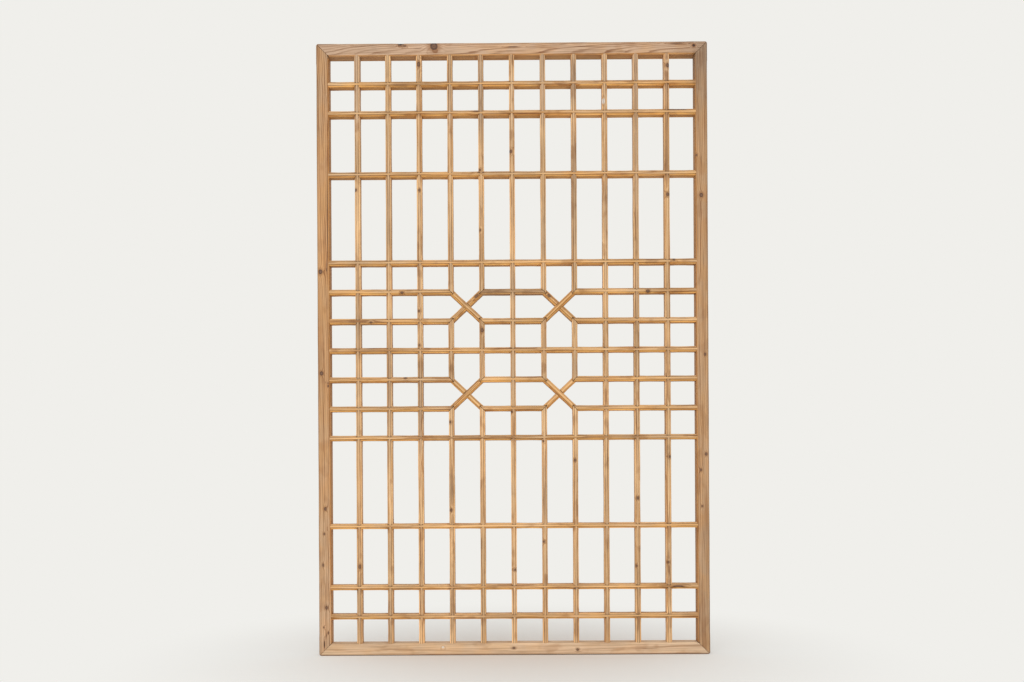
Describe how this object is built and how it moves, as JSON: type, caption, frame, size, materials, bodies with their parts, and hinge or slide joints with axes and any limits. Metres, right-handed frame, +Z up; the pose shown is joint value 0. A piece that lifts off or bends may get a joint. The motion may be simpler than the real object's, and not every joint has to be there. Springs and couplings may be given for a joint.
{
  "type": "lattice panel",
  "caption": "Tall wooden lattice panel: a mortised frame filled with moulded crossbars and uprights halved together, set close at the ends and in the middle, with crossed-diagonal cells.",
  "frame": {"origin": "middle of the bottom edge, half way through the frame's thickness", "axes": "+Z up the panel, +X to the right as seen from the front, +Y to the back; the moulded front looks along -Y"},
  "size_m": [1.015, 0.035, 1.59],
  "materials": {
    "frame_wood": "bare, weathered",
    "lattice_wood": "bare, weathered"
  },
  "bodies": {
    "root": {"left_stile": "frame_wood", "right_stile": "frame_wood", "top_rail": "frame_wood", "bottom_rail": "frame_wood", "crossbar_01": "lattice_wood", "crossbar_02": "lattice_wood", "crossbar_03": "lattice_wood", "crossbar_04": "lattice_wood", "crossbar_05_left": "lattice_wood", "crossbar_05_middle": "lattice_wood", "crossbar_05_right": "lattice_wood", "crossbar_06_left": "lattice_wood", "crossbar_06_middle": "lattice_wood", "crossbar_06_right": "lattice_wood", "crossbar_07": "lattice_wood", "crossbar_08_left": "lattice_wood", "crossbar_08_middle": "lattice_wood", "crossbar_08_right": "lattice_wood", "crossbar_09_left": "lattice_wood", "crossbar_09_middle": "lattice_wood", "crossbar_09_right": "lattice_wood", "crossbar_10": "lattice_wood", "crossbar_11": "lattice_wood", "crossbar_12": "lattice_wood", "crossbar_13": "lattice_wood", "upright_01": "lattice_wood", "upright_02": "lattice_wood", "upright_03": "lattice_wood", "upright_04_top": "lattice_wood", "upright_04_middle": "lattice_wood", "upright_04_bottom": "lattice_wood", "upright_05_top": "lattice_wood", "upright_05_middle": "lattice_wood", "upright_05_bottom": "lattice_wood", "upright_06": "lattice_wood", "upright_07_top": "lattice_wood", "upright_07_middle": "lattice_wood", "upright_07_bottom": "lattice_wood", "upright_08_top": "lattice_wood", "upright_08_middle": "lattice_wood", "upright_08_bottom": "lattice_wood", "upright_09": "lattice_wood", "upright_10": "lattice_wood", "upright_11": "lattice_wood", "diagonal_upper_left_front": "lattice_wood", "diagonal_upper_left_back": "lattice_wood", "diagonal_upper_right_front": "lattice_wood", "diagonal_upper_right_back": "lattice_wood", "diagonal_lower_left_front": "lattice_wood", "diagonal_lower_left_back": "lattice_wood", "diagonal_lower_right_front": "lattice_wood", "diagonal_lower_right_back": "lattice_wood"}
  },
  "joints": []
}
